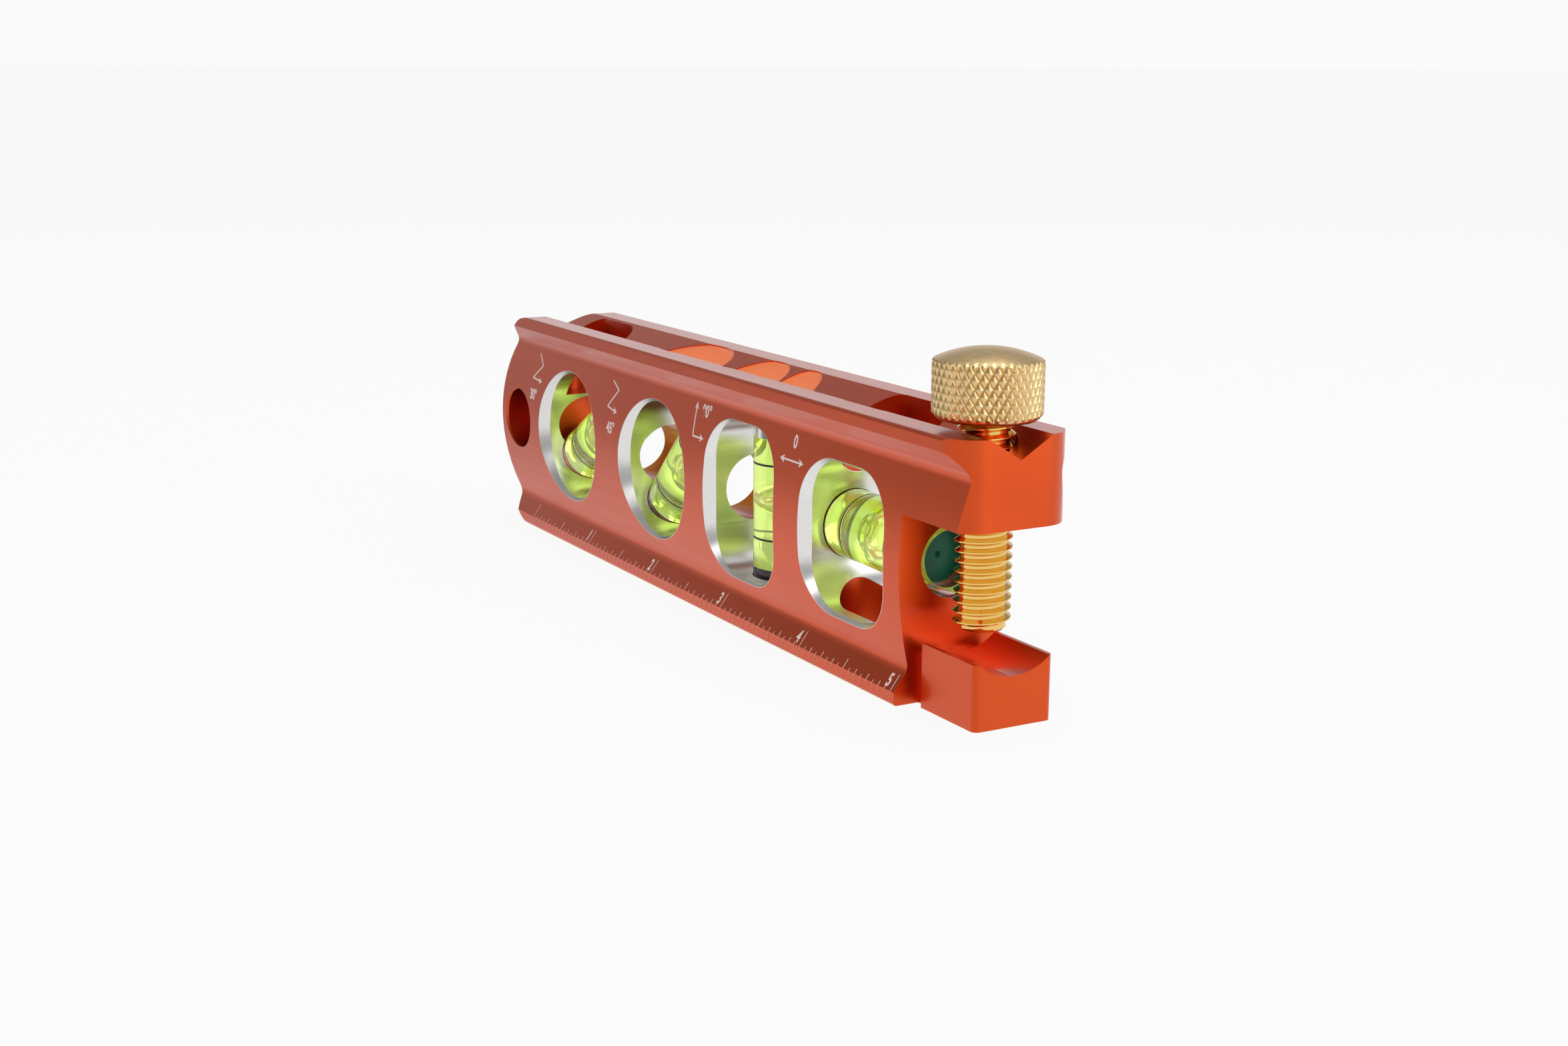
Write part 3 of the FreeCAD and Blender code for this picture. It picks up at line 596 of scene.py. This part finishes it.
# %% Helpers for Geometry Nodes
def geometry_tree(name, sizes):
    """Tree with one named input for each size: a count if it is whole, else a length in metres."""
    tree = bpy.data.node_groups.new(name, "GeometryNodeTree")
    tree.interface.new_socket("Geometry", in_out="OUTPUT", socket_type="NodeSocketGeometry")
    for size, value in sizes.items():
        kind = "NodeSocketInt" if isinstance(value, int) else "NodeSocketFloat"
        tree.interface.new_socket(size, in_out="INPUT", socket_type=kind)
    return tree, add(tree, "NodeGroupInput").outputs


def grow(tree, geometry, sizes, material):
    """End the tree with realised instances and a material, run it, and return the plain mesh."""
    real = add(tree, "GeometryNodeRealizeInstances", {"Geometry": geometry})
    dressed = add(tree, "GeometryNodeSetMaterial", {"Geometry": real.outputs[0], "Material": material})
    add(tree, "NodeGroupOutput", {0: dressed.outputs[0]})
    maker = bpy.data.objects.new(tree.name, bpy.data.meshes.new(tree.name))
    bpy.context.scene.collection.objects.link(maker)
    modifier = maker.modifiers.new(tree.name, "NODES")
    modifier.node_group = tree
    for item in tree.interface.items_tree:
        if item.in_out == "INPUT":
            modifier[item.identifier] = sizes[item.name]
    mesh = bpy.data.meshes.new_from_object(maker.evaluated_get(bpy.context.evaluated_depsgraph_get()))
    maker.modifiers.remove(modifier)
    bpy.data.objects.remove(maker)
    return mesh


def unit_grid(tree, columns, rows):
    """Grid with so many cells, its mesh, and fields for its column and row numbers."""
    grid = add(tree, "GeometryNodeMeshGrid", {"Size X": 1.0, "Size Y": 1.0})
    for side, count in (("Vertices X", columns), ("Vertices Y", rows)):
        points = add(tree, "ShaderNodeMath", {0: count, 1: 1.0}, operation="ADD")
        tree.links.new(points.outputs[0], grid.inputs[side])
    flat = add(tree, "ShaderNodeSeparateXYZ", {0: add(tree, "GeometryNodeInputPosition").outputs[0]}).outputs
    numbers = []
    for axis, count in (("X", columns), ("Y", rows)):
        share = add(tree, "ShaderNodeMath", {0: flat[axis], 1: 0.5}, operation="ADD")
        number = add(tree, "ShaderNodeMath", {0: share.outputs[0], 1: count}, operation="MULTIPLY")
        numbers.append(add(tree, "ShaderNodeMath", {0: number.outputs[0]}, operation="ROUND").outputs[0])
    return grid.outputs["Mesh"], numbers[0], numbers[1]


def roll(tree, mesh, turn, radius, height):
    """Roll a grid into a tube, given the fields for its turn, radius and height, and join its seam."""
    angle = add(tree, "ShaderNodeMath", {0: turn, 1: math.tau}, operation="MULTIPLY").outputs[0]
    across = []
    for operation in ("COSINE", "SINE"):
        part = add(tree, "ShaderNodeMath", {0: angle}, operation=operation)
        part = add(tree, "ShaderNodeMath", {0: part.outputs[0], 1: radius}, operation="MULTIPLY")
        across.append(part.outputs[0])
    place = add(tree, "ShaderNodeCombineXYZ", {0: across[0], 1: across[1], 2: height})
    tube = add(tree, "GeometryNodeSetPosition", {"Geometry": mesh, "Position": place.outputs[0]})
    seamless = add(tree, "GeometryNodeMergeByDistance", {"Geometry": tube.outputs[0], "Distance": 0.004 * MM})
    return seamless.outputs[0]


print("trees end in realised instances and a material")

# %% Cut the thread
KNOB_FOOT, KNOB_RIM, KNOB_TOP, KNOB_RADIUS = 41.1, 49.2, 50.8, 7.6
PITCH = 1.411                      # 18 turns to the inch
TURNS, ROWS_A_TURN = 23, 4
SCREW_TIP = 12.0
SPIGOT_RADIUS, SPIGOT_TOP = 3.0, 46.1
CENTRE = 0.001                     # radius at which a turned face ends in the middle
# Where the four rows of a turn lie along it, as shares of the pitch, and how deep, from crest 0 to root 1.
ROW_PLACES, ROW_DEPTHS = (0.0, 0.125, 0.4375, 0.6875), (0.0, 0.0, 1.0, 1.0)
screw_sizes = {"Crest Radius": 4.0 * MM, "Depth": 0.54 * PITCH * MM, "Pitch": PITCH * MM,
               "Low": SCREW_TIP * MM, "High": KNOB_FOOT * MM, "Tip Radius": 3.0 * MM,
               "Columns": 48, "Rows": ROWS_A_TURN * TURNS}


def thread_tree():
    tree, given = geometry_tree("v_thread", screw_sizes)
    mesh, column, row = unit_grid(tree, given["Columns"], given["Rows"])
    turn = add(tree, "ShaderNodeMath", {0: column, 1: given["Columns"]}, operation="DIVIDE").outputs[0]
    # Each row knows its number in its turn, and how many whole turns are below it.
    corner = add(tree, "ShaderNodeMath", {0: row, 1: ROWS_A_TURN}, operation="MODULO").outputs[0]
    whole = add(tree, "ShaderNodeMath", {0: row, 1: corner}, operation="SUBTRACT")
    whole = add(tree, "ShaderNodeMath", {0: whole.outputs[0], 1: ROWS_A_TURN}, operation="DIVIDE").outputs[0]
    tables = []
    for values in (ROW_PLACES, ROW_DEPTHS):
        table = add(tree, "GeometryNodeIndexSwitch", data_type="FLOAT")
        while len(table.index_switch_items) < ROWS_A_TURN:
            table.index_switch_items.new()
        tree.links.new(corner, table.inputs[0])
        for index, value in enumerate(values):
            table.inputs[index + 1].default_value = value
        tables.append(table.outputs[0])
    # Its height is those turns, its place in the turn, and the share of a turn that its column adds.
    rise = add(tree, "ShaderNodeMath", {0: whole, 1: tables[0]}, operation="ADD")
    rise = add(tree, "ShaderNodeMath", {0: rise.outputs[0], 1: turn}, operation="ADD")
    rise = add(tree, "ShaderNodeMath", {0: rise.outputs[0], 1: -1.0}, operation="ADD")
    height = add(tree, "ShaderNodeMath", {0: rise.outputs[0], 1: given["Pitch"], 2: given["Low"]},
                 operation="MULTIPLY_ADD")
    height = add(tree, "ShaderNodeClamp", {0: height.outputs[0], 1: given["Low"], 2: given["High"]})
    height = height.outputs[0]
    # Its radius is the crest's less the cut, and no more than the tip's chamfer and the run-out allow.
    cut = add(tree, "ShaderNodeMath", {0: tables[1], 1: given["Depth"]}, operation="MULTIPLY")
    radius = add(tree, "ShaderNodeMath", {0: given["Crest Radius"], 1: cut.outputs[0]}, operation="SUBTRACT")
    above_tip = add(tree, "ShaderNodeMath", {0: height, 1: given["Low"]}, operation="SUBTRACT")
    chamfer = add(tree, "ShaderNodeMath", {0: above_tip.outputs[0], 1: given["Tip Radius"]}, operation="ADD")
    below_top = add(tree, "ShaderNodeMath", {0: given["High"], 1: height}, operation="SUBTRACT")
    run_out = add(tree, "ShaderNodeMath", {0: below_top.outputs[0], 1: 2.0, 2: given["Tip Radius"]},
                  operation="MULTIPLY_ADD")
    radius = add(tree, "ShaderNodeMath", {0: radius.outputs[0], 1: chamfer.outputs[0]}, operation="MINIMUM")
    radius = add(tree, "ShaderNodeMath", {0: radius.outputs[0], 1: run_out.outputs[0]}, operation="MINIMUM")
    return tree, roll(tree, mesh, turn, radius.outputs[0], height)


def turn_ends(mesh, low_profile, high_profile):
    """Close a tube's ends with turned faces, each a list of radius and height, and put it at the screw."""
    bm = bmesh.new()
    bm.from_mesh(mesh)
    bmesh.ops.dissolve_degenerate(bm, dist=0.001 * MM, edges=bm.edges)
    rims = [edge for edge in bm.edges if edge.is_boundary]
    middle = sum(vert.co.z for vert in bm.verts) / len(bm.verts)
    for low, profile in ((True, low_profile), (False, high_profile)):
        loop = [edge for edge in rims if (edge.verts[0].co.z < middle) == low]
        for radius, height in profile:
            made = bmesh.ops.extrude_edge_only(bm, edges=loop)["geom"]
            loop = [item for item in made if isinstance(item, bmesh.types.BMEdge)]
            for vert in (item for item in made if isinstance(item, bmesh.types.BMVert)):
                flat = vert.co.xy.normalized() * radius * MM
                vert.co = (flat.x, flat.y, height * MM)
    bmesh.ops.remove_doubles(bm, verts=bm.verts, dist=0.003 * MM)
    bmesh.ops.recalc_face_normals(bm, faces=bm.faces)
    bmesh.ops.translate(bm, verts=bm.verts, vec=(SCREW_X * MM, 0, 0))
    bm.to_mesh(mesh)
    bm.free()
    return mesh


tree, thread = thread_tree()
spigot_profile = [(SPIGOT_RADIUS, KNOB_FOOT + 0.02), (SPIGOT_RADIUS, SPIGOT_TOP), (CENTRE, SPIGOT_TOP)]
screw_mesh = turn_ends(grow(tree, thread, screw_sizes, bright_brass), [(CENTRE, SCREW_TIP)], spigot_profile)
keep_piece("threaded_stud", screw_mesh, bright_brass, "thumbscrew", "brass", "clamp_screw")
print("thread has", len(screw_mesh.polygons), "faces")

# %% Press the knurl
KNURL_DEPTH = 0.30
DIAMONDS_ROUND, DIAMONDS_UP = 37, 3.5
CELLS = 8                          # grid cells across one diamond, each way
SOCKET_RADIUS, SOCKET_TOP = 3.05, 46.2
knurl_sizes = {"Outer Radius": KNOB_RADIUS * MM, "Depth": KNURL_DEPTH * MM, "Low": (KNOB_FOOT + 0.55) * MM,
               "High": KNOB_RIM * MM, "Columns": DIAMONDS_ROUND * CELLS, "Rows": int(DIAMONDS_UP * CELLS),
               "Cells": CELLS}


def knurl_tree():
    tree, given = geometry_tree("diamond_knurl", knurl_sizes)
    mesh, column, row = unit_grid(tree, given["Columns"], given["Rows"])
    turn = add(tree, "ShaderNodeMath", {0: column, 1: given["Columns"]}, operation="DIVIDE").outputs[0]
    climb = add(tree, "ShaderNodeMath", {0: row, 1: given["Rows"]}, operation="DIVIDE")
    height = add(tree, "ShaderNodeMapRange", {"Value": climb.outputs[0], "To Min": given["Low"],
                                              "To Max": given["High"]}).outputs[0]
    # How far a point is from the nearest groove of each slant: 0 on it, and 0.5 midway between two.
    away = []
    for slope in ("ADD", "SUBTRACT"):
        along = add(tree, "ShaderNodeMath", {0: column, 1: row}, operation=slope)
        crossing = add(tree, "ShaderNodeMath", {0: along.outputs[0], 1: given["Cells"]}, operation="DIVIDE")
        crossing = add(tree, "ShaderNodeMath", {0: crossing.outputs[0], 1: 0.5}, operation="PINGPONG")
        away.append(crossing.outputs[0])
    nearest = add(tree, "ShaderNodeMath", {0: away[0], 1: away[1]}, operation="MINIMUM")
    # The first and the last row are cut to the full depth, so that the pattern ends in a clean ring.
    edge = add(tree, "ShaderNodeMath", {0: climb.outputs[0], 1: 0.5}, operation="PINGPONG")
    inside = add(tree, "ShaderNodeMath", {0: edge.outputs[0], 1: 0.001}, operation="GREATER_THAN")
    crown = add(tree, "ShaderNodeMath", {0: nearest.outputs[0], 1: inside.outputs[0]}, operation="MULTIPLY")
    hollow = add(tree, "ShaderNodeMath", {0: crown.outputs[0], 1: -2.0, 2: 1.0}, operation="MULTIPLY_ADD")
    hollow = add(tree, "ShaderNodeMath", {0: hollow.outputs[0], 1: 2.0}, operation="POWER")
    cut = add(tree, "ShaderNodeMath", {0: hollow.outputs[0], 1: given["Depth"]}, operation="MULTIPLY")
    radius = add(tree, "ShaderNodeMath", {0: given["Outer Radius"], 1: cut.outputs[0]}, operation="SUBTRACT")
    tube = roll(tree, mesh, turn, radius.outputs[0], height)
    facets = add(tree, "GeometryNodeTriangulate", {"Mesh": tube})
    return tree, facets.outputs[0]


def dome_profile(steps=10):
    """Radius and height along the knob's dome, from the rim to the middle."""
    rise, foot = KNOB_TOP - KNOB_RIM, KNOB_RADIUS - KNURL_DEPTH
    ball = (foot ** 2 + rise ** 2) / (2 * rise)
    radii = [foot * (1 - step / steps) for step in range(1, steps)] + [CENTRE]
    return [(radius, KNOB_RIM + rise - ball + math.sqrt(ball ** 2 - radius ** 2)) for radius in radii]


tree, knurl = knurl_tree()
foot_profile = [(KNOB_RADIUS - 0.48, KNOB_FOOT + 0.28), (KNOB_RADIUS - 0.85, KNOB_FOOT),
                (SOCKET_RADIUS, KNOB_FOOT), (SOCKET_RADIUS, SOCKET_TOP), (CENTRE, SOCKET_TOP)]
knob_mesh = turn_ends(grow(tree, knurl, knurl_sizes, satin_brass), foot_profile, dome_profile())
keep_piece("knurled_knob", knob_mesh, satin_brass, "thumbscrew", "brass", "knob", sharp=40)
print("knob has", len(knob_mesh.polygons), "faces")

# %% [markdown]
# ## Marks on the side
# The marks are burnt into the dye by a laser, which leaves pale metal. Low on the strip at the foot of the
# rail, the ticks' colour is mixed towards a pinkish red, most at the bottom.
# The ticks repeat each sixteenth of an inch, so Geometry Nodes place them along a line. Digits come from
# Blender's own font and arrows from short strokes. All are drawn flat in X and Z, and each point is then
# carried along Y until it meets the bar, so the marks follow the strip, the bevel and the curved web.

# %% Draw the ticks
tick_sizes = {"Ticks": 81, "Spacing": INCH / 16 * MM, "Start X": RULER_ZERO * MM, "Width": 0.10 * MM,
              "Foot": 0.5 * MM, "Shoulder": RAIL_STRIP * MM, "Inch": 2.15 * MM, "Half": 1.25 * MM,
              "Quarter": 0.75 * MM, "Eighth": 0.6 * MM, "Sixteenth": 0.35 * MM}


def tick_tree():
    tree, given = geometry_tree("ruler_ticks", tick_sizes)
    start = add(tree, "ShaderNodeCombineXYZ", {0: given["Start X"]})
    step = add(tree, "ShaderNodeCombineXYZ", {0: given["Spacing"]})
    line = add(tree, "GeometryNodeMeshLine", {"Count": given["Ticks"], "Start Location": start.outputs[0],
                                              "Offset": step.outputs[0]})
    number = add(tree, "GeometryNodeInputIndex").outputs[0]
    # A tick is as long as the longest kind that its number allows.
    length = given["Sixteenth"]
    for every, name in ((2.0, "Eighth"), (4.0, "Quarter"), (8.0, "Half"), (16.0, "Inch")):
        left = add(tree, "ShaderNodeMath", {0: number, 1: every}, operation="MODULO")
        odd = add(tree, "ShaderNodeMath", {0: left.outputs[0], 1: 0.5}, operation="GREATER_THAN")
        length = add(tree, "ShaderNodeMix", {0: odd.outputs[0], 2: given[name], 3: length}).outputs[0]
    strip = add(tree, "ShaderNodeMath", {0: given["Shoulder"], 1: given["Foot"]}, operation="SUBTRACT")
    # Each tick is two boxes, one up the strip and one above its shoulder, where the bar's side bends.
    box = add(tree, "GeometryNodeMeshCube", {"Size": (1.0, 1.0, 1.0)})
    joined = add(tree, "GeometryNodeJoinGeometry")
    for foot, tall in ((given["Foot"], strip.outputs[0]), (given["Shoulder"], length)):
        size = add(tree, "ShaderNodeCombineXYZ", {0: given["Width"], 1: 1.0 * MM, 2: tall})
        middle = add(tree, "ShaderNodeMath", {0: tall, 1: 0.5, 2: foot}, operation="MULTIPLY_ADD")
        lift = add(tree, "ShaderNodeCombineXYZ", {2: middle.outputs[0]})
        place = add(tree, "GeometryNodeSetPosition", {"Geometry": line.outputs[0], "Offset": lift.outputs[0]})
        copies = add(tree, "GeometryNodeInstanceOnPoints", {
            "Points": place.outputs[0], "Instance": box.outputs[0], "Scale": size.outputs[0]})
        tree.links.new(copies.outputs[0], joined.inputs[0])
    return tree, joined.outputs[0]


def laser_mark():
    material, tree, shader = new_material("laser_marked_aluminium", inputs={"Specular IOR Level": 0.3})
    place = place_in_mm(tree)
    height = add(tree, "ShaderNodeSeparateXYZ", {0: place}).outputs["Z"]
    # Below 1.4 mm the ticks keep 35% of the mark's colour and the rest is pinkish red; above 2.4 mm they keep
    # all of it.
    mark_share = add(tree, "ShaderNodeMapRange", {"Value": height, "From Min": 1.4, "From Max": 2.4,
                                             "To Min": 0.35, "To Max": 1.0})
    mark = tint(tree, grain(tree, place, (0.4, 0.4, 0.4)), "#f2dcd6", "#fff6f2")
    faded_mark = add(tree, "ShaderNodeMix", {0: mark_share.outputs[0], 6: colour("#c4604a"), 7: mark}, data_type="RGBA")
    tree.links.new(faded_mark.outputs[2], shader.inputs["Base Color"])
    finish_surface(tree, shader, grain(tree, place, (0.15, 0.15, 0.15)), 0.45, 0.6, 0.003)
    return material


marked = laser_mark()
tree, ticks = tick_tree()
tick_mesh = grow(tree, ticks, tick_sizes, marked)
print("ticks have", len(tick_mesh.polygons), "faces")

# %% Draw the digits and arrows, flat, in millimetres
DIGIT_HEIGHT = 0.7                 # of Blender's own font at a size of 1
DEGREE = "\N{DEGREE SIGN}"
HALF_THICKNESS = 0.05
HEAD_LENGTH, HEAD_HALF, HEAD_NOTCH, OVERSHOOT = 1.3, 0.62, 0.95, 0.3


def text_faces(bm, words, left, foot, height, wide=0.82):
    """Add words to a bmesh: X along the bar, Z up, and Y before or behind the surface."""
    text = bpy.data.curves.new("words", "FONT")
    text.body = words
    text.extrude = HALF_THICKNESS
    text.offset = 0.028            # a little bolder
    holder = bpy.data.objects.new("words", text)
    bpy.context.scene.collection.objects.link(holder)
    mesh = bpy.data.meshes.new_from_object(holder.evaluated_get(bpy.context.evaluated_depsgraph_get()))
    bpy.data.objects.remove(holder)
    size = height / DIGIT_HEIGHT
    mesh.transform(Matrix(((size * wide, 0, 0, left), (0, 0, -1, 0), (0, size, 0, foot), (0, 0, 0, 1))))
    bm.from_mesh(mesh)
    bpy.data.meshes.remove(mesh)


def slab(bm, outline):
    """Add a thin plate with an outline of points in X and Z."""
    verts = [[bm.verts.new((x, y, z)) for x, z in outline] for y in (-HALF_THICKNESS, HALF_THICKNESS)]
    bm.faces.new(verts[0])
    bm.faces.new(verts[1][::-1])
    for i in range(len(outline)):
        bm.faces.new((verts[0][i], verts[1][i], verts[1][i - 1], verts[0][i - 1]))


def stroke(bm, start, end, width, step=0.7):
    """Add a line between two points, in pieces short enough to follow the web's curve."""
    start, end = Vector(start), Vector(end)
    run = (end - start).normalized()
    side = Vector((-run.y, run.x)) * width / 2
    pieces = max(1, math.ceil((end - start).length / step))
    stops = [start.lerp(end, i / pieces) for i in range(pieces + 1)]
    for first, last in zip(stops, stops[1:]):
        slab(bm, [first - side, last - side, last + side, first + side])


def arrow(bm, points, width=0.28, both=False):
    """Bent line with a swept head at its end, or at both ends."""
    for start, end in zip(points, points[1:]):
        stroke(bm, start, end, width)
    for tip, before in [(points[-1], points[-2])] + ([(points[0], points[1])] if both else []):
        tip = Vector(tip)
        back = (Vector(before) - tip).normalized()
        side = Vector((-back.y, back.x))
        tip -= back * OVERSHOOT
        heel = tip + back * HEAD_LENGTH
        slab(bm, [tip, heel + side * HEAD_HALF, tip + back * HEAD_NOTCH, heel - side * HEAD_HALF])


marks = bmesh.new()
for inch in range(1, 6):
    text_faces(marks, str(inch), RULER_ZERO + inch * INCH - 1.85, 2.4, 1.6)
for words, left, foot in (("0", 96.6, 31.4), ("90" + DEGREE, 66.9, 31.6), ("45" + DEGREE, 32.4, 23.6),
                          ("30" + DEGREE, -2.2, 24.6)):
    text_faces(marks, words, RULER_ZERO + left, foot, 1.9)
for points, both in ((((93.7, 29.4), (100.0, 29.4)), True), (((64.9, 28.1), (64.9, 33.4)), False),
                     (((64.9, 28.1), (68.3, 28.1)), False),
                     (((33.1, 32.7), (35.8, 31.35), (32.15, 28.1), (35.7, 27.5)), False),
                     (((0.5, 33.3), (2.6, 31.3), (-1.35, 28.6), (2.5, 28.3)), False)):
    arrow(marks, [(RULER_ZERO + x, z) for x, z in points], both=both)
bmesh.ops.scale(marks, vec=(MM, MM, MM), verts=marks.verts)
mark_mesh = bpy.data.meshes.new("digits_and_arrows")
marks.to_mesh(mark_mesh)
marks.free()
print("digits and arrows have", len(mark_mesh.polygons), "faces")

# %% Carry the marks to the bar
PROUD = 0.03 * MM                  # how far the marks stand out of the bar, and reach into it
RAY_START = -30 * MM               # well in front of the near side
DEEPEST = -6 * MM                  # a hit behind this is inside a window or on the far side


def carry_to_bar(mesh):
    """Move each point along Y to the near side of the bar, a little proud in front and sunk behind."""
    bar = bmesh.new()
    bar.from_mesh(nodes["level_body"].data)
    surface = BVHTree.FromBMesh(bar)
    missed = 0
    for vert in mesh.vertices:
        hit = surface.ray_cast(Vector((vert.co.x, RAY_START, vert.co.z)), Vector((0, 1, 0)))[0]
        if hit is None or hit.y > DEEPEST:
            missed += 1
        else:
            vert.co.y = hit.y + (-PROUD if vert.co.y < 0 else PROUD)
    bar.free()
    return missed


for name, mesh in (("ruler_ticks", tick_mesh), ("digits_and_arrows", mark_mesh)):
    missed = carry_to_bar(mesh)
    keep_piece(name, mesh, marked, "frame", "anodised_body")
    print(name, "lie on the bar, points that missed it:", missed)
